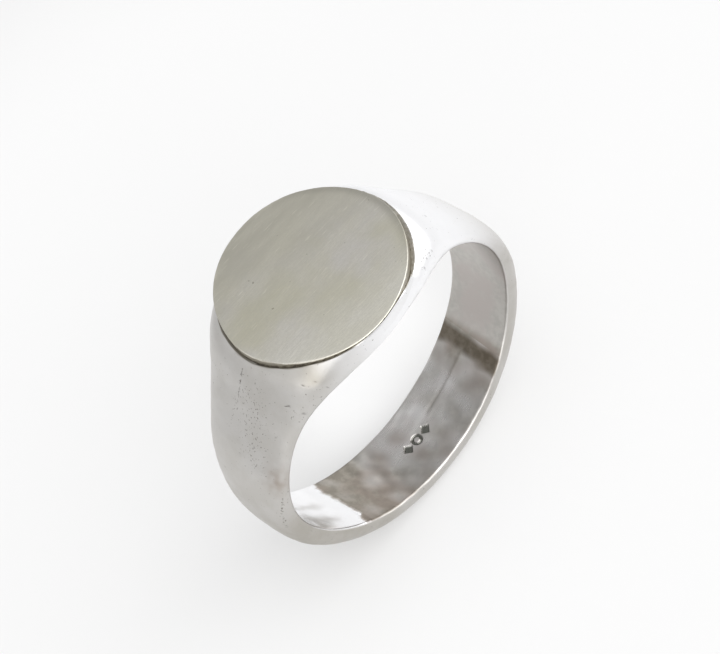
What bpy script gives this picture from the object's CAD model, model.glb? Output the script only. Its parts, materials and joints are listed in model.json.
import json
import math

import bmesh
import bpy
import numpy as np
from mathutils import Matrix, Vector


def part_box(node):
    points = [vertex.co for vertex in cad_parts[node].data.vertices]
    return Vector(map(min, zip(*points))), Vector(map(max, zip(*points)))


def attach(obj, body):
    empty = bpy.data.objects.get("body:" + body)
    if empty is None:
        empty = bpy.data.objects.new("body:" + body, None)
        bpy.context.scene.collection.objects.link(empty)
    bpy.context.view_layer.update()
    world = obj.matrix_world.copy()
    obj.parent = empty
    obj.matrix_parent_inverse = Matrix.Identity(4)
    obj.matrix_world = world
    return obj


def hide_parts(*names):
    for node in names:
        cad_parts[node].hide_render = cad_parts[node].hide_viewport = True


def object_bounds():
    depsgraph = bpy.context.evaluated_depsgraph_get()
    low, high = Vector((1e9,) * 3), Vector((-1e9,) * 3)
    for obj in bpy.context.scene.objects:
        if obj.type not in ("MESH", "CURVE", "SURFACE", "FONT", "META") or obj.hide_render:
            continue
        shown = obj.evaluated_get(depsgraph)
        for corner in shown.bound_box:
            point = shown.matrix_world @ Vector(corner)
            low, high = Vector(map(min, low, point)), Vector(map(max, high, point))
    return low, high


# Signet ring. Shapes are worked out in millimetres and turned into metres when a mesh is made.
# Angles go round the bore from the face: 0 is the middle of the face, +90 is the +X side, 180 the back.

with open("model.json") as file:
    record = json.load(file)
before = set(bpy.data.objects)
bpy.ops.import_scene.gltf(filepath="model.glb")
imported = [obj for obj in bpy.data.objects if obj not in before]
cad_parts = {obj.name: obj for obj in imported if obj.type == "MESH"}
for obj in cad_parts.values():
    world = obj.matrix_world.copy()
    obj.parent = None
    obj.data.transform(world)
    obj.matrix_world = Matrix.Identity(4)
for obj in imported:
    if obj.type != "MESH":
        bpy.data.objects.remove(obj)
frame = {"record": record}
cad_low, cad_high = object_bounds()
mounts = {mount["name"]: mount for mount in frame["record"]["mounts"]}

MM = 0.001


def node_box(name):
    """Lowest and highest corner of a CAD node in millimetres."""
    low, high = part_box(name)
    return np.array(low) / MM, np.array(high) / MM


# ---------------------------------------------------------------- dimensions

BORE_RADIUS = mounts["finger_bore"]["dims"]["r_mm"]
EDGE_ROUND = 0.20  # rounding of the two edges of the bore
SEAM_RIGHT = 134.4  # angle of the soldered joint on the +X side
SEAM_LEFT = -140.5  # angle of the soldered joint on the -X side
SEAM_SLANT = -0.5  # the joint on the +X side leans, in degrees for each millimetre along Y
SLANT_REACH = 14  # degrees from that joint over which the lean fades out
SHANK_SOLDER = 0.08  # thickness of the solder in those two joints
SEAM_HALF_ANGLE = math.degrees(SHANK_SOLDER / 2 / BORE_RADIUS)

# The band's shape at stations round the ring, as in the CAD model: (angle, half width of the bore's wall)
# and (angle, thickness above the bore).
WIDTH_STATIONS = (
    (0, 5.22), (20, 4.58), (40, 3.35), (60, 2.75),
    (80, 2.42), (105, 2.09), (135, 2.14), (180, 2.28),
)
CREST_STATIONS = (
    (0, 3.40), (20, 2.70), (30, 2.38), (40, 1.60), (50, 1.15),
    (65, 1.10), (90, 1.31), (125, 1.55), (180, 1.58),
)
HEAD_EXPONENT = 1.5
SHANK_EXPONENT = 3.0
HEAD_FLARE = 0.60
HEAD_REACH = 80.0

plate_low, plate_high = node_box("face_plate")
film_low, film_high = node_box("face_solder")
SHANK_BOTTOM = node_box("shank")[0][2]
PLATE_TOP = plate_high[2]
PLATE_BOTTOM = plate_low[2]
HEAD_TOP = film_low[2]
PLATE_CENTRE = (plate_low[0] + plate_high[0]) / 2
PLATE_HALF = (plate_high - plate_low)[:2] / 2
FILM_CENTRE = (film_low[0] + film_high[0]) / 2
FILM_HALF = (film_high - film_low)[:2] / 2
PLATE_BEVEL = 0.10
FLOOR_LEVEL = min(cad_low[2] / MM, SHANK_BOTTOM)

MARK_ANGLE = 179.3
MARK_OFFSET = 0.06  # the marks sit a little towards +Y
MARK_PITCH = 0.80
MARK_SIZE = 0.76
MARK_DEPTH = 0.12
MARK_STROKE = 0.20
BURR_HEIGHT = 0.02  # raised round the punched marks
GROOVE_DEPTH = 0.03

# ---------------------------------------------------------------- small mathematics


def smooth_step(value, low, high):
    t = np.clip((np.asarray(value, float) - low) / (high - low), 0, 1)
    return t * t * (3 - 2 * t)


def bump(distance, width):
    """A bell of height 1."""
    return np.exp(-((np.asarray(distance, float) / width) ** 2))


def smooth_curve(stations):
    """A smooth even function of the angle through the stations, level at 0 and at 180 degrees."""
    x, y = np.transpose(stations)
    step = np.diff(x)
    rise = np.diff(y)
    matrix = np.eye(len(x))
    right = np.zeros(len(x))
    for i in range(1, len(x) - 1):
        matrix[i, i - 1] = 1 / step[i - 1]
        matrix[i, i] = 2 / step[i - 1] + 2 / step[i]
        matrix[i, i + 1] = 1 / step[i]
        right[i] = 3 * (rise[i - 1] / step[i - 1] ** 2 + rise[i] / step[i] ** 2)
    slope = np.linalg.solve(matrix, right)

    def curve(angle):
        a = np.abs(angle)
        a = np.where(a > 180, 360 - a, a)
        i = np.clip(np.searchsorted(x, a) - 1, 0, len(step) - 1)
        t = (a - x[i]) / step[i]
        start = y[i] * (1 + 2 * t) * (1 - t) ** 2 + slope[i] * step[i] * t * (1 - t) ** 2
        end = y[i + 1] * t**2 * (3 - 2 * t) - slope[i + 1] * step[i] * t**2 * (1 - t)
        return start + end

    return curve


half_width = smooth_curve(WIDTH_STATIONS)
crest_height = smooth_curve(CREST_STATIONS)


def waves(points, length, seed, count=16):
    """Smooth noise about zero, mostly within -1 to 1, with waves of about that length in millimetres."""
    rng = np.random.default_rng(seed)
    total = np.zeros(len(points))
    for _ in range(count):
        direction = rng.normal(size=points.shape[1])
        direction /= np.linalg.norm(direction)
        turns = rng.uniform(0.6, 1.5) / length
        total += np.sin(2 * math.pi * (points @ direction * turns + rng.random()))
    return total / math.sqrt(count) * 1.2


def ring_waves(angle, turns, seed, count=10):
    """Smooth noise about zero round a circle, with about that many waves to the turn."""
    rng = np.random.default_rng(seed)
    total = np.zeros(np.shape(angle))
    for _ in range(count):
        whole = max(1, round(turns * rng.uniform(0.5, 1.6)))
        total = total + np.sin(np.radians(angle) * whole + rng.uniform(0, 2 * math.pi))
    return total / math.sqrt(count) * 1.2


# ---------------------------------------------------------------- sections of the band

RIM_POINTS = 7  # points on each rounded edge of the bore
FLANK_POINTS = 40  # points on each half of the outside
TOP_POINTS = 30  # points across the flat of the head
CURVE_SAMPLES = 400
LEFT_STEP = 0.36  # degrees between sections on the -X shoulder, which has the pits
LEFT_FINE_TO = 100
RIGHT_STEP = 0.4  # and on the +X shoulder
RIGHT_FINE_TO = 60


def section_numbers(angle):
    turn = abs(angle) if abs(angle) <= 180 else 360 - abs(angle)
    fade = math.exp(-((turn / HEAD_REACH) ** 2))
    power = 2 / (SHANK_EXPONENT + (HEAD_EXPONENT - SHANK_EXPONENT) * fade)
    base_width = float(half_width(angle)) + EDGE_ROUND
    dome_height = float(crest_height(angle)) - EDGE_ROUND
    return power, HEAD_FLARE * fade, base_width, dome_height


def flank(angle, cut_radius):
    """Half of the outside, from its foot to the crest or the cut, as evenly spaced (width, radius)."""
    power, flare, base_width, dome_height = section_numbers(angle)
    base_radius = BORE_RADIUS + EDGE_ROUND
    share = (cut_radius - base_radius) / dome_height
    last = math.pi / 2 if share >= 1 else math.asin(share ** (1 / power))
    s = np.linspace(0, last, CURVE_SAMPLES)
    rise = dome_height * np.sin(s) ** power
    width = np.clip(np.cos(s), 0, 1) ** power * (base_width + flare * rise)
    if share >= 1:
        width[-1] = 0.0
    along = np.concatenate([[0], np.cumsum(np.hypot(np.diff(width), np.diff(rise)))])
    even = np.linspace(0, along[-1], FLANK_POINTS + 1)[1:]
    return np.interp(even, along, width), base_radius + np.interp(even, along, rise)


def rim_arc(angle):
    """The rounded edge of the bore on the +Y side, from the bore's wall out to the flank."""
    _, flare, base_width, _ = section_numbers(angle)
    lean = math.atan(flare)
    middle = base_width - EDGE_ROUND / math.cos(lean)
    a = np.linspace(-math.pi / 2, -lean, RIM_POINTS)
    return middle + EDGE_ROUND * np.cos(a), BORE_RADIUS + EDGE_ROUND * (1 + np.sin(a))


def section_loop(angle, bore_shares):
    """One closed section: (width along Y, radius) from the bore's +Y edge over the top and back."""
    cut_radius = HEAD_TOP / math.cos(math.radians(angle)) if abs(angle) < 60 else 1e3
    rim_y, rim_r = rim_arc(angle)
    flank_y, flank_r = flank(angle, cut_radius)
    top_y = np.linspace(flank_y[-1], -flank_y[-1], TOP_POINTS + 2)[1:-1]
    top_r = np.full(TOP_POINTS, flank_r[-1])
    bore_y = rim_y[0] * bore_shares
    bore_r = np.full(len(bore_y), BORE_RADIUS)
    y = np.concatenate([rim_y, flank_y, top_y, -flank_y[::-1], -rim_y[::-1], bore_y])
    r = np.concatenate([rim_r, flank_r, top_r, flank_r[::-1], rim_r[::-1], bore_r])
    return y, r


def place(angle, y, r):
    turn = np.radians(angle)
    return np.stack([r * np.sin(turn), y + 0 * r, r * np.cos(turn)], -1)


def face_tip_angle():
    """The angle at which the flat of the head runs out on the crest."""
    low, high = 10.0, 60.0
    for _ in range(60):
        middle = (low + high) / 2
        inside = BORE_RADIUS + crest_height(middle) > HEAD_TOP / math.cos(math.radians(middle))
        low, high = (middle, high) if inside else (low, middle)
    return low


FACE_TIP = face_tip_angle()

# ---------------------------------------------------------------- meshes


def mesh_object(name, points, faces, sharp=35.0, weld=True):
    """A welded, smooth mesh from points in millimetres, with hard edges where its faces turn sharply."""
    mesh = bpy.data.meshes.new(name)
    mesh.from_pydata((np.asarray(points) * MM).tolist(), [], faces)
    if weld:
        b = bmesh.new()
        b.from_mesh(mesh)
        bmesh.ops.remove_doubles(b, verts=b.verts, dist=1e-7)
        bmesh.ops.recalc_face_normals(b, faces=b.faces)
        b.to_mesh(mesh)
        b.free()
    mesh.validate()
    obj = bpy.data.objects.new(name, mesh)
    bpy.context.scene.collection.objects.link(obj)
    for polygon in mesh.polygons:
        polygon.use_smooth = True
    mesh.set_sharp_from_angle(angle=math.radians(sharp))
    return obj


def vertex_values(obj, name):
    values = np.empty(len(obj.data.vertices) * 3)
    obj.data.vertices.foreach_get(name, values)
    return values.reshape(-1, 3)


def positions(obj):
    """The vertices in millimetres."""
    return vertex_values(obj, "co") / MM


def set_positions(obj, points):
    obj.data.vertices.foreach_set("co", (points * MM).ravel())
    obj.data.update()


def push(obj, amount):
    """Moves each vertex along its normal by that many millimetres."""
    set_positions(obj, positions(obj) + vertex_values(obj, "normal") * amount[:, None])


def paint(obj, name, values):
    attribute = obj.data.attributes.new(name, "FLOAT", "POINT")
    attribute.data.foreach_set("value", np.clip(values, 0, 1).astype(np.float32))


def tube_object(name, rows, sharp=35.0, closed=False):
    """A mesh through closed rows of points. Its ends get a face each, or the last row meets the first."""
    count, columns = len(rows), len(rows[0])
    faces = []
    for i in range(count if closed else count - 1):
        here, there = i * columns, (i + 1) % count * columns
        for j in range(columns):
            k = (j + 1) % columns
            faces.append((here + j, here + k, there + k, there + j))
    if not closed:
        faces.append(tuple(range(columns)))
        faces.append(tuple((count - 1) * columns + j for j in reversed(range(columns))))
    return mesh_object(name, np.concatenate(rows), faces, sharp)


def ring_angle(points):
    return np.degrees(np.arctan2(points[:, 0], points[:, 2]))


def ring_radius(points):
    return np.hypot(points[:, 0], points[:, 2])


def back_angle(points):
    """Like ring_angle, but counted from 0 to 360, without a jump at the back of the band."""
    return ring_angle(points) % 360


# ---------------------------------------------------------------- the head and its lip

# The casting rises round the plate's wall as a lip on the side towards -Y, and less on the other side:
# (angle round the face from +X, height of its edge above the flat).
LIP_STATIONS = (
    (-180, 0.00), (-172, 0.05), (-162, 0.22), (-151, 0.35), (-143, 0.43),
    (-138, 0.49), (-127, 0.53), (-117, 0.59), (-107, 0.64), (-97, 0.66),
    (-84, 0.66), (-76, 0.60), (-69, 0.42), (-60, 0.18), (-52, 0.00),
    (50, 0.00), (75, 0.25), (105, 0.25), (130, 0.00), (180, 0.00),
)
# How high the solder stands in the gap between the lip and the plate's wall, in the same way.
BEAD_STATIONS = (
    (-180, 0.08), (-170, 0.22), (-160, 0.34), (-152, 0.54), (-143, 0.58),
    (-127, 0.60), (-117, 0.59), (-107, 0.62), (-84, 0.62), (-76, 0.58),
    (-69, 0.41), (-60, 0.24), (-50, 0.10), (60, 0.10), (75, 0.22),
    (105, 0.22), (130, 0.06), (180, 0.08),
)
# The plate was filed by hand: how far its outline stands out from a true ellipse, in the same way.
OUTLINE_STATIONS = (
    (-180, -0.02), (-169, -0.06), (-135, -0.16), (-99, -0.08), (-84, -0.08),
    (-70, -0.09), (-56, -0.06), (-37, 0.00), (-23, 0.05), (-7, 0.11),
    (9, 0.05), (27, -0.02), (41, -0.03), (56, 0.00), (120, -0.02),
    (141, -0.06), (157, -0.11), (170, -0.05), (180, -0.02),
)
CORNER_ROUNDING = 6.0  # degrees
FACE_POINTS = 720  # points round the film and bead
LIP_GAP = 0.03  # between the plate's wall and the lip, filled with solder
LIP_THICKNESS = 0.05
LIP_REACH = 2.6  # the casting starts to rise at this distance from the lip's edge
LIP_LEAST = 1e-4  # no lip is made below this height
LIP_FULL_FROM = 0.12  # a lip lower than this blends into the plain edge of the flat


def face_angle(x, y):
    """The angle round the plate's centre, from +X towards +Y, as on the plate's ellipse."""
    return np.degrees(np.arctan2(y / PLATE_HALF[1], (x - PLATE_CENTRE) / PLATE_HALF[0]))


def around_the_face(angle, stations):
    """The value of the stations at an angle, with their corners rounded off."""
    angles, values = np.transpose(stations)
    near = [
        np.interp((angle + offset + 180) % 360 - 180, angles, values)
        for offset in np.linspace(-CORNER_ROUNDING, CORNER_ROUNDING, 9)
    ]
    return np.mean(near, axis=0)


def lip_height(angle):
    return around_the_face(angle, LIP_STATIONS) * (1 + 0.02 * ring_waves(angle, 14, seed=3))


def plate_outline(angle, outwards):
    """The plate's outline, moved outwards by a distance."""
    turn = np.radians(angle)
    outwards = outwards + around_the_face(angle, OUTLINE_STATIONS)
    x = PLATE_CENTRE + (PLATE_HALF[0] + outwards) * np.cos(turn)
    return x, (PLATE_HALF[1] + outwards) * np.sin(turn)


def outline_row(angles, outwards, level):
    """The plate's outline, moved outwards, as a row of points at a level."""
    x, y = plate_outline(angles, outwards)
    return np.stack([x, y, level + 0 * x], -1)


def lift(points):
    """How far the casting is drawn up at each point, the more the nearer it is to the lip."""
    around = face_angle(points[:, 0], points[:, 1])
    edge_x, edge_y = plate_outline(around, LIP_GAP + LIP_THICKNESS)
    beyond = np.hypot(points[:, 0] - PLATE_CENTRE, points[:, 1]) - np.hypot(edge_x - PLATE_CENTRE, edge_y)
    away = np.hypot(np.clip(beyond, 0, None), HEAD_TOP - points[:, 2])
    above_the_rim = smooth_step(ring_radius(points), BORE_RADIUS + 0.2, BORE_RADIUS + 1.2)
    share = np.clip(1 - away / LIP_REACH, 0, 1) ** 1.6
    return lip_height(around) * share * above_the_rim


def raise_lip(loop, angle):
    """Draws the flanks of one section up round the plate's wall."""
    outside = slice(RIM_POINTS, RIM_POINTS + 2 * FLANK_POINTS + TOP_POINTS)
    if abs(angle) >= FACE_TIP:
        loop[outside, 2] += lift(loop[outside])
        return loop
    for side in (1, -1):
        first = RIM_POINTS if side > 0 else RIM_POINTS + FLANK_POINTS + TOP_POINTS
        part = slice(first, first + FLANK_POINTS)
        points = loop[part]
        edge = points[-1] if side > 0 else points[0]
        around = face_angle(edge[0], edge[1])
        height = float(lip_height(around))
        if height < LIP_LEAST:
            continue
        amount = float(smooth_step(height, 0, LIP_FULL_FROM))
        x, y = plate_outline(around, LIP_GAP + LIP_THICKNESS)
        target = np.array([x, y, HEAD_TOP])
        away = np.linalg.norm(points - edge, axis=1)
        points = points + (1 - smooth_step(away, 0, LIP_REACH))[:, None] * (target - edge) * amount
        points[:, 2] += lift(points)
        loop[part] = points
        inner_x, inner_y = plate_outline(around, LIP_GAP)
        top = RIM_POINTS + FLANK_POINTS
        order = (top, top + 1) if side > 0 else (top + TOP_POINTS - 1, top + TOP_POINTS - 2)
        crest = np.array([inner_x, inner_y, HEAD_TOP + height - 0.01])
        foot = np.array([inner_x, inner_y, HEAD_TOP])
        loop[order[0]] = loop[order[0]] + (crest - loop[order[0]]) * amount
        loop[order[1]] = loop[order[1]] + (foot - loop[order[1]]) * amount
    return loop


def head_angles():
    """The angles of the head's sections: close together under the face and down the shoulders."""
    start = SEAM_LEFT + SEAM_HALF_ANGLE
    end = SEAM_RIGHT - SEAM_HALF_ANGLE
    reach = math.tan(math.radians(FACE_TIP))
    face = np.degrees(np.arctan(reach * np.sin(np.linspace(-math.pi / 2, math.pi / 2, 181))))
    left_fine = np.arange(-FACE_TIP - LEFT_STEP, -LEFT_FINE_TO, -LEFT_STEP)[::-1]
    left = np.linspace(start, left_fine[0], 70)[:-1]
    right_fine = np.arange(FACE_TIP + RIGHT_STEP, RIGHT_FINE_TO, RIGHT_STEP)
    right = np.linspace(right_fine[-1], end, 130)[1:]
    return np.concatenate([left, left_fine, face, right_fine, right])


def slanted(angle, y):
    """Leans the angles near the joint on the +X side."""
    return angle + SEAM_SLANT * y * smooth_step(np.abs(angle - SEAM_RIGHT), SLANT_REACH, 0)


# Pits in the casting: (angle, y, radius, depth), the larger ones only.
PITS = (
    (-28.3, -3.5, 0.040, 0.030), (-25.7, -4.0, 0.030, 0.020), (-25.9, -4.4, 0.022, 0.015),
    (-36.5, -2.9, 0.050, 0.040), (-36.9, -2.75, 0.032, 0.025), (-37.2, -3.6, 0.045, 0.035),
    (-46.6, -1.7, 0.028, 0.020), (-49.4, -2.3, 0.030, 0.020), (-56.0, -1.8, 0.032, 0.020),
    (-57.1, -1.0, 0.032, 0.025), (-64.6, -1.6, 0.026, 0.020), (26.3, -3.9, 0.034, 0.025),
    (25.1, -4.0, 0.030, 0.025), (23.7, -4.2, 0.034, 0.025), (22.3, -4.3, 0.034, 0.025),
    (24.7, -4.25, 0.030, 0.025), (21.9, -4.55, 0.032, 0.025), (28.4, -4.0, 0.026, 0.020),
    (39.0, -1.7, 0.034, 0.020), (37.6, -2.8, 0.026, 0.020),
)
# A shrinkage crack runs down the -X shoulder: (y, z) at its ends, how far it strays from the straight
# line between them, and how far from its middle it starts and ends to fade.
CRACK_TOP = (0.19, 9.66)
CRACK_FOOT = (0.45, 7.30)
CRACK_WANDER = 0.30
CRACK_EDGE = (0.02, 0.06)
# Where the casting is full of fine pores: (angle, y) at both ends of a band, its half width and how
# porous it is. The first runs along the crack and the second along the edge between flank and bore.
POROUS_BANDS = (
    ((-33.0, 0.10), (-52.0, 0.80), 0.20, 0.70),
    ((-72.0, -2.66), (-92.0, -2.15), 0.13, 0.95),
    ((-40.0, -0.7), (-62.0, -1.0), 1.15, 0.62),
    ((21.0, -4.5), (28.5, -3.9), 0.16, 0.62),
    ((-28.0, -4.2), (-40.0, -3.2), 0.40, 0.35),
)


def pits(points):
    """How deep the pits are at each point, and how dark it is there."""
    depth = np.zeros(len(points))
    dark = np.zeros(len(points))
    outside = ring_radius(points) > BORE_RADIUS + 0.12
    angle = ring_angle(points)
    for place_angle, y, size, deep in PITS:
        arc = np.radians(angle - place_angle) * ring_radius(points)
        away = np.hypot(arc, points[:, 1] - y)
        depth = np.maximum(depth, deep * bump(away, size) * outside)
        dark = np.maximum(dark, bump(away, size * 1.15) * outside)
    return depth, dark


def porous(points):
    """How porous the casting is at each point."""
    angle = ring_angle(points)
    radius = ring_radius(points)
    total = np.zeros(len(points))
    for (start_angle, start_y), (end_angle, end_y), width, amount in POROUS_BANDS:
        middle = (start_angle + end_angle) / 2
        u = np.radians(angle - middle) * radius
        v = points[:, 1] - (start_y + end_y) / 2
        half_u = math.radians(end_angle - start_angle) / 2 * radius
        half_v = (end_y - start_y) / 2
        share = np.clip((u * half_u + v * half_v) / (half_u**2 + half_v**2), -1, 1)
        away = np.hypot(u - share * half_u, v - share * half_v)
        total = np.maximum(total, amount * bump(away, width))
    return total * (radius > BORE_RADIUS + 0.12)


# The flank on the +Y side is slimmer by this share round one angle.
FAR_FLANK_PULL = 0.05
FAR_FLANK_ANGLE = 18
FAR_FLANK_SPAN = 16


def dullness(points):
    """Where the silver is duller: on -X, most of all below, low on +X, and in two patches by the plate."""
    x, z = points[:, 0], points[:, 2]
    left = (0.68 + 0.32 * smooth_step(z, 4.0, -4.0)) * (1 - smooth_step(x, -5.5, 0.5))
    right = 0.76 * (1 - smooth_step(z, 0.0, 7.5)) * smooth_step(x, -5.0, 0.5)
    left = left * (1 - 0.15 * smooth_step(points[:, 1], -1.7, -2.5) * smooth_step(z, 0.0, -4.0))
    flat_top = 0.10 * smooth_step(z, HEAD_TOP - 0.06, HEAD_TOP - 0.01) * smooth_step(x, -2.0, 2.0)
    around = face_angle(x, points[:, 1])
    under_the_lip = 0.26 * bump(around + 139, 6.5) * smooth_step(z, 9.3, 9.75)
    return np.minimum(left + right + flat_top + under_the_lip, 1.0)


def paint_band(obj, points, inside, tarnish, burn=1.0):
    """Paints what every stretch of the band has: the bore, its tarnish and burns, and a dull outside."""
    paint(obj, "inside", inside)
    paint(obj, "tarnish", tarnish * inside)
    paint(obj, "burn", burnt_stripe(points) * inside * burn)
    paint(obj, "worn", dullness(points) * (1 - inside))


def make_head():
    """The casting, with its lip, pits and the uneven surface left by hand finishing."""
    shares = np.linspace(-1, 1, 26)[1:-1]
    rows = []
    for angle in head_angles():
        y, r = section_loop(angle, shares)
        slimmer = 1 - FAR_FLANK_PULL * float(bump(angle - FAR_FLANK_ANGLE, FAR_FLANK_SPAN))
        y = np.where(y > 0, y * slimmer, y)
        loop = place(slanted(angle, y), y, r)
        if abs(angle) < FACE_TIP + 15:
            loop = raise_lip(loop, angle)
        rows.append(loop)
    obj = tube_object("signet_head_cast", rows, sharp=50)
    points = positions(obj)
    outside = smooth_step(ring_radius(points), BORE_RADIUS + 0.15, BORE_RADIUS + 0.4)
    below_face = 1 - smooth_step(points[:, 2], HEAD_TOP - 1.6, HEAD_TOP - 0.3)
    hand = 0.012 * waves(points, 3.2, seed=11) + 0.004 * waves(points, 1.1, seed=12)
    depth, dark = pits(points)
    push(obj, hand * outside * below_face * away_from_joints(points) - depth)
    paint_band(obj, points, in_the_bore(points), head_tarnish(points), ring_angle(points) > 0)
    paint(obj, "pit", dark)
    paint(obj, "flux", head_flux(points))
    paint(obj, "blotch", head_blotch(points))
    paint(obj, "porous", porous(points))
    return obj


def head_tarnish(points):
    """Tarnish in the head's bore: even on +X; on -X at the torn edge of the solder and in two streaks."""
    angle = back_angle(points)
    right = 0.80 * smooth_step(angle, 20, 60) + 0.20 * smooth_step(angle, SEAM_RIGHT - 4, SEAM_RIGHT)
    past_edge = angle - (360 + SEAM_LEFT) - spill_edge(points[:, 1]) + 0.4 * waves(points, 0.35, seed=43)
    left = 0.85 * (1 - smooth_step(past_edge, -0.3, 1.1))
    wander = 0.12 * waves(points, 1.6, seed=44)
    streak = bump(points[:, 1] + 1.1 + wander, 0.42) + 0.8 * bump(points[:, 1] - 0.3 - wander, 0.28)
    streak = 0.55 * streak * smooth_step(angle, 226, 236) * smooth_step(angle, 290, 262)
    return np.where(angle < 180, right, np.maximum(left, streak))


def away_from_joints(points):
    """0 at the two joints of the band and 1 a little away, so that the pieces meet without a step."""
    angle = back_angle(points)
    right = smooth_step(np.abs(angle - SEAM_RIGHT), 0.3, 5.0)
    return right * smooth_step(np.abs(angle - 360 - SEAM_LEFT), 0.3, 5.0)


def in_the_bore(points):
    return 1 - smooth_step(ring_radius(points), BORE_RADIUS + 0.02, BORE_RADIUS + 0.10)


def burnt_stripe(points):
    """The brown stripe burnt across the bore at the joint on the +X side, and thinner soot past it."""
    angle = back_angle(points) - SEAM_SLANT * points[:, 1]
    ragged = 0.5 * waves(points, 1.2, seed=41)
    starts = smooth_step(angle - 0.4 * ragged, SEAM_RIGHT - 0.9, SEAM_RIGHT + 2.9)
    ends = smooth_step(angle - ragged, SEAM_RIGHT + 6.2, SEAM_RIGHT + 11.0)
    soot = 0.52 * smooth_step(back_angle(points), 186, 212)
    fading = 0.22 * smooth_step(angle, SEAM_RIGHT + 26, SEAM_RIGHT + 10) * starts
    near_side = smooth_step(points[:, 1], 0.6, -1.3) * smooth_step(angle, SEAM_RIGHT + 6, SEAM_RIGHT + 14)
    return np.max([starts * (1 - ends), soot, fading, 0.38 * near_side], axis=0)


def head_flux(points):
    """Dark flux where the casting meets the solder round the plate."""
    x, y = points[:, 0], points[:, 1]
    around = face_angle(x, y)
    edge = HEAD_TOP + lip_height(around)
    near = bump(points[:, 2] - edge, 0.030 + 0.008 * ring_waves(around, 25, seed=21))
    front = smooth_step(np.abs(around), 80, 115)
    return near * front * (points[:, 2] > HEAD_TOP - 0.2)


def head_blotch(points):
    """A faint warm blotch low on the -X shoulder, near its -Y edge."""
    arc = np.radians(ring_angle(points) + 66.5) * ring_radius(points)
    blotch = np.exp(-((arc / 1.0) ** 2) - ((points[:, 1] + 2.4) / 0.55) ** 2)
    return blotch * (0.75 + 0.25 * waves(points, 0.6, seed=31))


# ---------------------------------------------------------------- the shank


def diamond_depth(u, v):
    inside = MARK_SIZE * 0.7 / math.sqrt(2) - 0.997 * (np.abs(u) + np.abs(v))
    return smooth_step(inside, -0.05, 0.09)


def ring_depth(u, v):
    radius = np.hypot(u, v)
    return smooth_step(MARK_STROKE / 2 - np.abs(radius - MARK_SIZE / 2 + MARK_STROKE / 2), -0.05, 0.08)


def marks(points):
    """The punched marks in the bore, from 0 to 1 at the floor of a mark."""
    arc = np.radians(back_angle(points) - MARK_ANGLE) * BORE_RADIUS
    y = points[:, 1] - MARK_OFFSET
    total = np.zeros(len(points))
    for step, shape in ((-1, diamond_depth), (0, ring_depth), (1, diamond_depth)):
        total = np.maximum(total, shape(arc - step * MARK_PITCH, y))
    return total


def groove(points):
    """A crease near the middle of the bore, from the joint to the marks."""
    angle = back_angle(points)
    line = 0.45 + 0.16 * np.sin(np.radians(angle - 140) * 3.2)
    along = smooth_step(angle, SEAM_RIGHT + 5, SEAM_RIGHT + 9) * (1 - smooth_step(angle, 166, 171))
    return bump(points[:, 1] - line, 0.13) * along


def uneven_lines(spans):
    """Positions in spans, each (start, end, step), joined without repeats."""
    rows = [np.linspace(a, b, max(2, round(abs(b - a) / step) + 1))[:-1] for a, b, step in spans]
    return np.concatenate(rows + [[spans[-1][1]]])


def band_object(name, angles, bore_shares):
    """A stretch of the band through those angles, closed at both ends."""
    rows = []
    for angle in angles:
        y, r = section_loop(angle, bore_shares)
        rows.append(place(slanted(angle, y), y, r))
    return tube_object(name, rows)


def make_shank():
    """The back of the band, with finer faces round the marks and the groove."""
    edge = 2.3
    y_lines = uneven_lines([(-edge, -0.5, 0.09), (-0.5, 0.62, 0.035), (0.62, edge, 0.09)])[1:-1] / edge
    start = SEAM_RIGHT + SEAM_HALF_ANGLE
    end = 360 + SEAM_LEFT - SEAM_HALF_ANGLE
    angles = uneven_lines([(start, 171, 0.45), (171, 187.5, 0.22), (187.5, end, 0.45)])
    obj = band_object("shank_band", angles, y_lines)
    points = positions(obj)
    inside = in_the_bore(points)
    filed = 0.010 * waves(points, 2.6, seed=13) * (1 - inside)
    rubbed = 0.006 * waves(points, 0.9, seed=14) * inside
    punched = marks(points)
    burr = BURR_HEIGHT * (smooth_step(punched, 0.0, 0.3) * (1 - smooth_step(punched, 0.3, 0.7)))
    uneven = (filed + rubbed) * away_from_joints(points)
    push(obj, uneven + inside * (burr - MARK_DEPTH * punched - GROOVE_DEPTH * groove(points)))
    points = positions(obj)
    below = points[:, 2] < SHANK_BOTTOM
    points[:, 2] = np.maximum(points[:, 2], SHANK_BOTTOM + 0.004 * waves(points, 1.5, seed=15) * below)
    set_positions(obj, points)
    paint_band(obj, points, inside, shank_tarnish(points))
    paint(obj, "mark", punched * inside)
    paint(obj, "crease", groove(points) * inside)
    return obj


def shank_tarnish(points):
    """Tarnish in the bore: stronger towards the joint on the -X side, cloudy everywhere."""
    angle = back_angle(points)
    clouds = waves(points, 1.6, seed=42)
    late = smooth_step(angle, 184, 210)
    early = 1 - smooth_step(angle, SEAM_RIGHT + 4, SEAM_RIGHT + 22)
    return 0.62 + 0.36 * late + 0.20 * early + 0.10 * clouds


# ---------------------------------------------------------------- solder


def make_seam(name, seam):
    """The solder in one joint of the band: a thin slice, flush outside and stained in the bore."""
    angles = seam + np.linspace(-1, 1, 5) * SEAM_HALF_ANGLE
    obj = band_object(name, angles, np.linspace(-1, 1, 60)[1:-1])
    points = positions(obj)
    paint_band(obj, points, in_the_bore(points), 1.0)
    return obj


SPILL_START = 0.2  # the spilt solder starts this far before the joint on the -X side, in degrees
SPILL_REACH = 1.1  # and runs about this far up the bore past it, in degrees
SPILL_HALF_WIDTH = 2.20
SPILL_THICKNESS = 0.022


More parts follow.
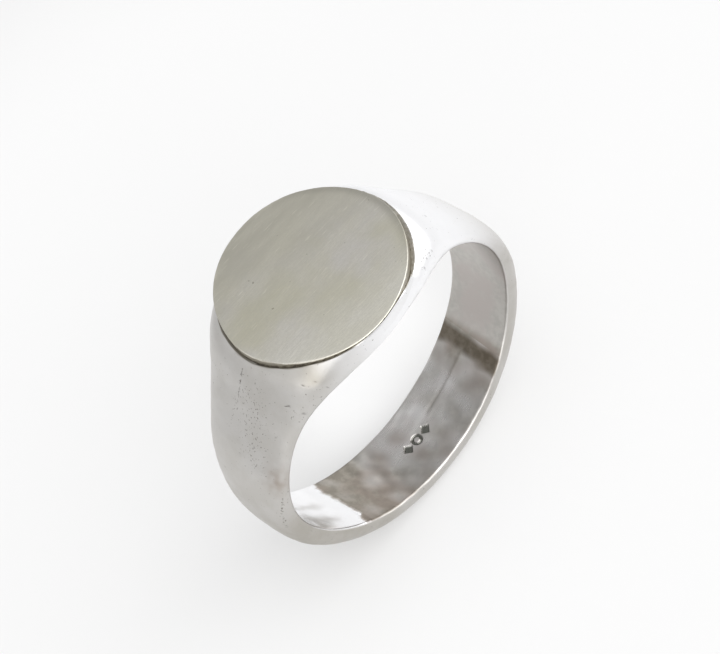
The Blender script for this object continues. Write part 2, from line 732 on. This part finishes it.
def spill_edge(y):
    """The torn edge of the solder that ran over the bore past the joint on the -X side, in degrees."""
    pointed = np.abs(((y * 1.3 + 0.3) % 1.0) - 0.5)
    fine = 0.22 * np.sin(y * 11.0 + 1.0) + 0.14 * np.sin(y * 31.0)
    tongues = 1.5 * bump(y - 1.4, 0.75) + 1.7 * bump(y + 2.0, 0.3) - 1.1 * bump(y + 1.2, 0.35)
    return SPILL_REACH + tongues + 0.9 * pointed + fine


def make_spill():
    """Solder that ran out of the joint on the -X side over the bore of the head, with a torn edge."""
    across = np.linspace(0, 1, 13)
    rows = []
    for y in np.linspace(-SPILL_HALF_WIDTH, SPILL_HALF_WIDTH, 111):
        reach = max(0.25, float(spill_edge(y)))
        angles = 360 + SEAM_LEFT - SPILL_START + (reach + SPILL_START) * across
        thins_out = min(1.0, (SPILL_HALF_WIDTH + 0.01 - abs(y)) / 0.12)
        thick = SPILL_THICKNESS * (1 - across**6) * thins_out + 0.0015
        top = place(angles, y, BORE_RADIUS - thick)
        below = place(angles, y, BORE_RADIUS + 0.01 + 0 * across)
        rows.append(np.concatenate([top, below[::-1]]))
    obj = tube_object("solder_spill", rows, sharp=50)
    points = positions(obj)
    before_edge = 360 + SEAM_LEFT + spill_edge(points[:, 1]) - back_angle(points)
    tarnish = 0.85 + 0.15 * smooth_step(before_edge, 0.0, 0.8)
    burn = smooth_step(before_edge, -0.3, 1.2)
    paint_band(obj, points, np.ones(len(points)), tarnish, burn)
    return obj


def make_film():
    """The solder under the plate: a thin sheet, with a ragged edge where it shows as a ledge on +X."""
    angles = np.linspace(-180, 180, FACE_POINTS, endpoint=False)
    turn = np.radians(angles)
    ledge = smooth_step(np.abs(angles), 78, 45)
    ragged = 0.014 * ring_waves(angles, 30, seed=51) + 0.006 * ring_waves(angles, 90, seed=52)
    outwards = ledge * (0.03 + ragged) - (1 - ledge) * (0.02 + 0.3 * np.abs(ragged))
    x = FILM_CENTRE + (FILM_HALF[0] + outwards) * np.cos(turn)
    y = (FILM_HALF[1] + outwards) * np.sin(turn)
    rows = []
    levels = [(0.0, HEAD_TOP), (0.0, PLATE_BOTTOM - 0.03)]
    levels += [(inset, PLATE_BOTTOM) for inset in (0.02, 0.30, 0.60, 1.5)]
    for inset, level in levels:
        share = 1 - inset / FILM_HALF.mean()
        rim_x = FILM_CENTRE + (x - FILM_CENTRE) * share
        height = level + 0.010 * ledge * ring_waves(angles, 30, seed=53) * (0 < inset < 1)
        rows.append(np.stack([rim_x, y * share, height + 0 * x], -1))
    return tube_object("face_solder_film", rows)


def make_seam_bead():
    """The bead of solder that fills the gap between the plate's wall and the casting."""
    angles = np.linspace(-180, 180, FACE_POINTS, endpoint=False)
    lip = lip_height(angles)
    bead = around_the_face(angles, BEAD_STATIONS)
    level = HEAD_TOP + bead * (1 + 0.05 * ring_waves(angles, 60, seed=61))
    gap = LIP_GAP * smooth_step(lip, 0.0, 0.1)
    rows = [
        outline_row(angles, -0.05, HEAD_TOP + 0.01),
        outline_row(angles, -0.02, level),
        outline_row(angles, 0.012, level - 0.004),
        outline_row(angles, gap + 0.012, HEAD_TOP + np.minimum(lip, bead) - 0.02),
        outline_row(angles, gap + 0.012, HEAD_TOP + 0.005),
    ]
    return tube_object("face_solder_bead", rows, closed=True)


# ---------------------------------------------------------------- the face plate


def make_plate():
    """The seal plate: nearly flat, its edge worn over, with a fine uneven bevel and a filed wall."""
    angles = np.linspace(-180, 180, 540, endpoint=False)
    uneven = 0.004 * ring_waves(angles, 9, seed=71) + 0.002 * ring_waves(angles, 40, seed=72)
    towards_front = smooth_step(np.abs((angles + 130 + 180) % 360 - 180), 110, 20)
    bevel = PLATE_BEVEL * (0.35 + 0.25 * towards_front) * (1 + 0.15 * ring_waves(angles, 12, seed=73))
    rings = [(0.03, PLATE_BOTTOM), (0.0, PLATE_BOTTOM + 0.03)]
    for share in np.linspace(0.15, 0.85, 6):
        filed = 0.004 * ring_waves(angles + 40 * share, 50, seed=74)
        rings.append((filed, PLATE_BOTTOM + (PLATE_TOP - PLATE_BOTTOM) * share))
    rings.append((0.0, PLATE_TOP - bevel))
    rings.append((bevel * 0.35, PLATE_TOP - bevel * 0.42))
    rings.append((bevel * 0.8, PLATE_TOP - bevel * 0.14))
    rings.append((bevel * 1.2, PLATE_TOP - 0.006))
    for inset in np.concatenate([[0.22, 0.32, 0.45], np.linspace(0.6, PLATE_HALF.mean() - 0.15, 52)]):
        rings.append((inset, PLATE_TOP - 0.006 * bump(inset, 0.35)))
    rows = [outline_row(angles, uneven - inset, level) for inset, level in rings]
    obj = tube_object("face_plate_disc", rows, sharp=50)
    points = positions(obj)
    top = points[:, 2] > PLATE_TOP - 0.02
    ripple = 0.0016 * waves(points[:, :2], 2.6, seed=75) + 0.0008 * waves(points[:, :2], 0.9, seed=76)
    points[:, 2] += ripple * top
    points[:, 2] = np.minimum(points[:, 2], PLATE_TOP + 0.004)
    set_positions(obj, points)
    radius = np.hypot((points[:, 0] - PLATE_CENTRE) / PLATE_HALF[0], points[:, 1] / PLATE_HALF[1])
    around = face_angle(points[:, 0], points[:, 1])
    front = smooth_step(np.abs((around + 120 + 180) % 360 - 180), 80, 50)
    edge = smooth_step(radius, 0.982, 0.992) * (points[:, 2] > PLATE_TOP - 0.13) * front
    wall = (points[:, 2] < PLATE_TOP - 0.05) * 1.0
    rolled = smooth_step(radius, 0.90, 1.0) * smooth_step(np.abs(around - 8), 62, 25)
    paint(obj, "rolled", rolled)
    paint(obj, "edge", edge)
    paint(obj, "wall", wall)
    return obj


# ---------------------------------------------------------------- materials

RUBBING_ANGLE = 4  # degrees between X and the lines rubbed into the plate

FLOOR_WHITENESS = 0.45
FLOOR_GLOW = 0.325
FLOOR_GLOW_FULL_TO = 40.0  # the floor glows evenly up to this distance from the ring, in millimetres
FLOOR_GLOW_NONE_FROM = 90.0  # and no longer glows from here on
SPOT_PLACE = (3.0, 7.0)  # seen through the ring, the floor glows a little more here
SPOT_RADIUS = 9.0
SPOT_GLOW = 0.12


class Nodes:
    """Short calls for building a node tree."""

    def __init__(self, tree):
        self.tree = tree
        tree.nodes.clear()

    def add(self, kind, inputs=None, **settings):
        node = self.tree.nodes.new(kind)
        for key, value in settings.items():
            setattr(node, key, value)
        for key, value in (inputs or {}).items():
            if isinstance(value, bpy.types.NodeSocket):
                self.tree.links.new(value, node.inputs[key])
            else:
                node.inputs[key].default_value = value
        return node

    def math(self, operation, a, b=0.0):
        return self.add("ShaderNodeMath", {0: a, 1: b}, operation=operation).outputs[0]

    def times(self, a, b):
        return self.math("MULTIPLY", a, b)

    def opposite(self, share):
        return self.math("SUBTRACT", 1.0, share)

    def plus(self, total, value, factor=1.0):
        """total + value * factor"""
        return self.math("ADD", total, self.times(value, factor))

    def mix(self, factor, a, b):
        return self.add("ShaderNodeMix", {0: factor, 6: a, 7: b}, data_type="RGBA").outputs[2]

    def cover(self, colour, where, amount, new_colour):
        """A colour with another laid over it, by that amount where the value is 1."""
        return self.mix(self.times(where, amount), colour, new_colour)

    def attribute(self, name):
        """A painted value."""
        node = self.add("ShaderNodeAttribute", attribute_name=name, attribute_type="GEOMETRY")
        return node.outputs["Fac"]

    def noise(self, vector, scale, detail=2.0, roughness=0.5):
        values = {"Vector": vector, "Scale": scale, "Detail": detail, "Roughness": roughness}
        return self.add("ShaderNodeTexNoise", values).outputs["Fac"]

    def band(self, value, low, high):
        """A value turned into 0 to 1 between low and high."""
        values = {"Value": value, "From Min": low, "From Max": high}
        return self.add("ShaderNodeMapRange", values, interpolation_type="SMOOTHSTEP").outputs["Result"]

    def stretched(self, vector, scales):
        values = {0: vector, 1: scales}
        return self.add("ShaderNodeVectorMath", values, operation="MULTIPLY").outputs[0]

    def split(self, vector):
        return self.add("ShaderNodeSeparateXYZ", {0: vector}).outputs

    def measure(self, operation, vector, other=(0, 0, 0)):
        """One number from two vectors, or from the first alone."""
        values = {0: vector, 1: other}
        return self.add("ShaderNodeVectorMath", values, operation=operation).outputs["Value"]

    def surface(self, values):
        shader = self.add("ShaderNodeBsdfPrincipled", values)
        self.add("ShaderNodeOutputMaterial", {"Surface": shader.outputs[0]})


def start_material(name):
    material = bpy.data.materials.new(name)
    material.use_nodes = True
    nodes = Nodes(material.node_tree)
    place_mm = nodes.stretched(nodes.add("ShaderNodeTexCoord").outputs["Object"], (1 / MM, 1 / MM, 1 / MM))
    return material, nodes, place_mm


def around_the_ring(nodes, place_mm):
    """(distance round the bore, y, radius) in millimetres; the jump is in the joint on the -X side."""
    x, y, z = nodes.split(place_mm)
    turn = math.radians(-180 - SEAM_LEFT)
    turned_x = nodes.plus(nodes.times(x, math.cos(turn)), z, math.sin(turn))
    turned_z = nodes.plus(nodes.times(z, math.cos(turn)), x, -math.sin(turn))
    arc = nodes.times(nodes.math("ARCTAN2", turned_x, turned_z), BORE_RADIUS)
    radius = nodes.math("SQRT", nodes.plus(nodes.times(x, x), z, z))
    return nodes.add("ShaderNodeCombineXYZ", {0: arc, 1: y, 2: radius}).outputs[0]


def rgb(red, green, blue):
    """A colour given as sRGB bytes."""
    values = []
    for byte in (red, green, blue):
        c = byte / 255
        values.append(c / 12.92 if c <= 0.04045 else ((c + 0.055) / 1.055) ** 2.4)
    return (*values, 1.0)


def finish_metal(nodes, colour, roughness, height, distance, anisotropic=0.0, tangent=None):
    """A metal surface: height is a value whose full step stands for distance in millimetres."""
    relief = nodes.add("ShaderNodeBump", {"Height": height, "Distance": distance * MM, "Strength": 1.0})
    values = {
        "Base Color": colour,
        "Metallic": 1.0,
        "Roughness": roughness,
        "Anisotropic": anisotropic,
        "Normal": relief.outputs[0],
    }
    if tangent is not None:
        values["Tangent"] = tangent
    nodes.surface(values)


def crack_line(nodes, place_mm):
    """1 on the thin broken shrinkage crack that runs down the -X shoulder, and 0 elsewhere."""
    x, y, z = nodes.split(place_mm)
    (top_y, top_z), (foot_y, foot_z) = CRACK_TOP, CRACK_FOOT
    share = nodes.math("DIVIDE", nodes.math("SUBTRACT", top_z, z), top_z - foot_z)
    line_y = nodes.times(share, foot_y - top_y)
    line_y = nodes.plus(line_y, nodes.noise(place_mm, 1.6, 2.0, 0.6), CRACK_WANDER)
    line_y = nodes.math("ADD", line_y, top_y - CRACK_WANDER / 2)
    away = nodes.math("ABSOLUTE", nodes.math("SUBTRACT", y, line_y))
    thin = nodes.opposite(nodes.band(away, *CRACK_EDGE))
    ends = nodes.math("SUBTRACT", nodes.band(share, 0.0, 0.12), nodes.band(share, 0.8, 1.0))
    broken = nodes.band(nodes.noise(place_mm, 3.2, 1.0, 0.5), 0.36, 0.60)
    on_the_shoulder = nodes.math("LESS_THAN", x, 0.0)
    return nodes.times(nodes.times(thin, nodes.times(ends, broken)), on_the_shoulder)


def silver(name):
    """Satin silver. Painted values say where it is worn, pitted, tarnished, burnt or marked."""
    material, nodes, place_mm = start_material(name)
    round_mm = around_the_ring(nodes, place_mm)
    clouds = nodes.noise(place_mm, 0.45, 4.0, 0.6)
    blots = nodes.noise(place_mm, 2.2, 3.0, 0.6)
    lines = nodes.noise(nodes.stretched(round_mm, (0.6, 9.0, 9.0)), 1.0, 3.0, 0.65)
    grain = nodes.noise(place_mm, 10.0, 2.0, 0.6)
    inside = nodes.attribute("inside")
    worn = nodes.attribute("worn")
    tarnish = nodes.attribute("tarnish")
    burn = nodes.attribute("burn")
    flux = nodes.attribute("flux")
    pores = nodes.plus(nodes.noise(place_mm, 8.0, 1.0, 0.4), nodes.attribute("porous"), 0.17)
    pores = nodes.times(nodes.band(pores, 0.735, 0.785), nodes.opposite(inside))
    crack = crack_line(nodes, place_mm)

    colour = nodes.mix(clouds, rgb(246, 246, 247), rgb(251, 251, 253))
    dull = nodes.mix(nodes.band(clouds, 0.35, 0.65), rgb(163, 158, 148), rgb(175, 171, 164))
    colour = nodes.mix(worn, colour, dull)
    colour = nodes.cover(colour, nodes.attribute("blotch"), 0.85, rgb(166, 154, 144))
    grey = nodes.mix(nodes.band(blots, 0.35, 0.65), rgb(152, 148, 140), rgb(166, 162, 154))
    grey = nodes.mix(nodes.band(clouds, 0.42, 0.62), grey, rgb(158, 149, 142))
    colour = nodes.mix(tarnish, colour, grey)
    brown = nodes.mix(nodes.band(blots, 0.3, 0.7), rgb(92, 84, 72), rgb(112, 104, 92))
    colour = nodes.cover(colour, burn, 0.94, brown)
    colour = nodes.cover(colour, nodes.attribute("mark"), 0.90, rgb(92, 94, 87))
    colour = nodes.cover(colour, nodes.attribute("crease"), 0.42, rgb(112, 107, 98))
    colour = nodes.cover(colour, pores, 0.62, rgb(106, 100, 90))
    colour = nodes.cover(colour, nodes.attribute("pit"), 0.80, rgb(78, 72, 64))
    colour = nodes.cover(colour, crack, 0.60, rgb(84, 78, 70))
    colour = nodes.cover(colour, flux, 0.85, rgb(104, 98, 84))

    roughness = nodes.plus(0.30, lines, 0.10)
    roughness = nodes.plus(roughness, worn, 0.04)
    roughness = nodes.plus(roughness, nodes.times(inside, nodes.opposite(tarnish)), -0.20)
    roughness = nodes.plus(roughness, burn, 0.10)
    roughness = nodes.plus(roughness, flux, 0.2)

    height = nodes.times(lines, 0.5)
    height = nodes.plus(height, grain, nodes.plus(0.6, inside, -0.45))
    height = nodes.plus(height, crack, -3.0)
    height = nodes.plus(height, nodes.times(blots, tarnish), 0.8)
    height = nodes.plus(height, pores, -2.5)
    finish_metal(nodes, colour, roughness, height, 0.004)
    return material


def seal_metal():
    """The plate's warmer alloy, rubbed nearly along X: fine lines, a few scratches and soft clouds."""
    material, nodes, place_mm = start_material("seal_metal")
    values = {"Vector": place_mm, "Angle": math.radians(RUBBING_ANGLE)}
    along = nodes.add("ShaderNodeVectorRotate", values, rotation_type="Z_AXIS").outputs[0]
    fine = nodes.noise(nodes.stretched(along, (1.6, 16.0, 1.0)), 1.0, 4.0, 0.75)
    broad = nodes.noise(nodes.stretched(along, (0.30, 1.3, 1.0)), 1.0, 3.0, 0.55)
    scratch = nodes.noise(nodes.stretched(along, (1.1, 15.0, 1.0)), 1.0, 1.0, 0.5)
    scratch = nodes.band(scratch, 0.66, 0.76)
    cross = nodes.noise(nodes.stretched(along, (12.0, 1.6, 1.0)), 1.0, 2.0, 0.6)
    clouds = nodes.noise(place_mm, 0.26, 2.5, 0.5)
    specks = nodes.band(nodes.noise(place_mm, 3.4, 1.0, 0.3), 0.77, 0.80)
    grain = nodes.noise(place_mm, 12.0, 3.0, 0.7)

    x, y, _ = nodes.split(place_mm)
    across = nodes.plus(y, x, 0.35)
    colour = nodes.mix(nodes.band(clouds, 0.36, 0.62), rgb(199, 196, 178), rgb(209, 206, 202))
    colour = nodes.mix(nodes.band(across, 5.0, -1.0), rgb(186, 183, 171), colour)
    colour = nodes.cover(colour, nodes.band(across, -1.0, -5.5), 0.80, rgb(230, 228, 218))
    colour = nodes.cover(colour, nodes.band(broad, 0.3, 0.7), 0.40, rgb(214, 211, 198))
    colour = nodes.cover(colour, nodes.band(fine, 0.36, 0.62), 0.30, rgb(184, 181, 168))
    colour = nodes.cover(colour, nodes.band(grain, 0.35, 0.65), 0.22, rgb(180, 178, 170))
    colour = nodes.cover(colour, scratch, 0.30, rgb(234, 231, 219))
    colour = nodes.cover(colour, specks, 0.5, rgb(120, 114, 98))
    colour = nodes.cover(colour, nodes.attribute("rolled"), 0.55, rgb(150, 147, 138))
    colour = nodes.cover(colour, nodes.attribute("wall"), 0.85, rgb(146, 139, 124))
    colour = nodes.cover(colour, nodes.attribute("edge"), 0.8, rgb(236, 233, 221))

    roughness = nodes.plus(nodes.plus(0.36, fine, 0.12), scratch, -0.06)
    height = nodes.plus(nodes.plus(fine, cross, 0.35), scratch, -0.6)
    along_x = nodes.add("ShaderNodeCombineXYZ", {0: 1.0}).outputs[0]
    finish_metal(nodes, colour, roughness, height, 0.0035, anisotropic=0.30, tangent=along_x)
    return material


def solder_metal(name, light, dark, roughness):
    """Solder: dull grey with dark oxide in its hollows."""
    material, nodes, place_mm = start_material(name)
    blots = nodes.noise(place_mm, 4.0, 3.0, 0.6)
    grain = nodes.noise(place_mm, 14.0, 2.0, 0.6)
    colour = nodes.mix(nodes.band(blots, 0.35, 0.65), dark, light)
    finish_metal(nodes, colour, nodes.plus(roughness, grain, 0.15), nodes.plus(blots, grain, 0.5), 0.012)
    return material


def floor_white():
    """A light table: matt and evenly lit from below near the ring, plain grey further away."""
    material, nodes, place_mm = start_material("studio_floor")
    away = nodes.measure("LENGTH", place_mm)
    glow = nodes.times(nodes.band(away, FLOOR_GLOW_NONE_FROM, FLOOR_GLOW_FULL_TO), FLOOR_GLOW)
    from_spot = nodes.measure("DISTANCE", place_mm, (*SPOT_PLACE, FLOOR_LEVEL))
    glow = nodes.plus(glow, nodes.band(from_spot, SPOT_RADIUS, SPOT_RADIUS / 3), SPOT_GLOW)
    values = {
        "Base Color": (FLOOR_WHITENESS, FLOOR_WHITENESS, FLOOR_WHITENESS, 1),
        "Roughness": 0.95,
        "Specular IOR Level": 0.1,
        "Emission Color": (1, 1, 1, 1),
        "Emission Strength": glow,
    }
    nodes.surface(values)
    return material


# ---------------------------------------------------------------- pieces


def add_piece(obj, material, slot, *nodes):
    obj.data.materials.append(material)
    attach(obj, "root")
    if nodes:
        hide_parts(*nodes)


flux_solder = solder_metal("flux_solder", rgb(124, 118, 104), rgb(84, 78, 68), 0.45)
grey_solder = solder_metal("grey_solder", rgb(176, 172, 163), rgb(152, 148, 138), 0.36)
band_silver = silver("band_silver")

add_piece(make_head(), silver("cast_silver"), "cast_silver", "signet_head")
add_piece(make_shank(), band_silver, "band_silver", "shank")
add_piece(make_seam("shank_seam_right", SEAM_RIGHT), band_silver, "solder", "shank_solder_right")
add_piece(make_seam("shank_seam_left", 360 + SEAM_LEFT), band_silver, "solder", "shank_solder_left")
add_piece(make_spill(), band_silver, "solder")
add_piece(make_film(), grey_solder, "solder", "face_solder")
add_piece(make_seam_bead(), flux_solder, "solder")
add_piece(make_plate(), seal_metal(), "seal_metal", "face_plate")

# ---------------------------------------------------------------- floor, light and camera

FLOOR_HALF = 1.5  # metres

ROOM_LIGHT = 0.59
# Soft panels round the ring: (azimuth, elevation, half width in degrees, strength).
PANELS = (
    (0, 38, 34, 2.35),
    (45, 8, 34, 1.35),
    (60, 38, 34, 1.62),
    (90, 8, 34, 0.63),
    (108, 8, 40, 0.95),
    (225, 8, 34, 0.29),
    (270, 8, 34, 0.40),
    (315, 8, 34, 1.86),
    (0, 80, 40, 1.09),
)
PANEL_CORE = 0.25  # share of a panel's half width that is evenly bright


def make_floor():
    """One flat square under the ring."""
    z = FLOOR_LEVEL
    side = FLOOR_HALF / MM
    points = [(-side, -side, z), (side, -side, z), (side, side, z), (-side, side, z)]
    floor = mesh_object("studio_floor", points, [(0, 1, 2, 3)], weld=False)
    floor.data.materials.append(floor_white())


def direction(azimuth, elevation):
    """The unit vector towards a place seen from the ring; azimuth 0 is -Y and 90 is +X."""
    a, e = math.radians(azimuth), math.radians(elevation)
    return Vector((math.sin(a) * math.cos(e), -math.cos(a) * math.cos(e), math.sin(e)))


def make_world():
    """A grey room with soft white panels round the ring."""
    world = bpy.data.worlds.new("studio")
    bpy.context.scene.world = world
    world.use_nodes = True
    nodes = Nodes(world.node_tree)
    towards = nodes.add("ShaderNodeTexCoord").outputs["Generated"]
    total = ROOM_LIGHT
    for azimuth, elevation, spread, strength in PANELS:
        facing = nodes.measure("DOT_PRODUCT", towards, direction(azimuth, elevation))
        inner = math.cos(math.radians(spread * PANEL_CORE))
        outer = math.cos(math.radians(spread))
        total = nodes.plus(total, nodes.band(facing, outer, inner), strength)
    background = nodes.add("ShaderNodeBackground", {"Color": (1, 1, 1, 1), "Strength": total})
    nodes.add("ShaderNodeOutputWorld", {"Surface": background.outputs[0]})


VIEW_AZIMUTH = -22.4
VIEW_ELEVATION = 55.1
VIEW_ROLL = 31.5
VIEW_DISTANCE = 142.86
AIM_RIGHT = -0.612  # the picture's centre, from the centre of the bore, in the picture's plane
AIM_UP = 2.344
LENS = 125.4


def make_camera():
    """The photograph's view: where it stands, what it looks at and how it is rolled."""
    back = direction(VIEW_AZIMUTH, VIEW_ELEVATION)
    level = direction(VIEW_AZIMUTH + 90, 0)
    upright = back.cross(level)
    roll = math.radians(VIEW_ROLL)
    right = level * math.cos(roll) - upright * math.sin(roll)
    up = back.cross(right)
    camera = bpy.data.cameras.new("camera")
    camera.lens = LENS
    camera.sensor_width = 36
    camera.clip_start = 0.001
    obj = bpy.data.objects.new("camera", camera)
    bpy.context.scene.collection.objects.link(obj)
    spot = (back * VIEW_DISTANCE + right * AIM_RIGHT + up * AIM_UP) * MM
    obj.matrix_world = Matrix.Translation(spot) @ Matrix((right, up, back)).transposed().to_4x4()
    bpy.context.scene.camera = obj


make_floor()
make_world()
make_camera()
bpy.context.scene.view_settings.view_transform = "Standard"
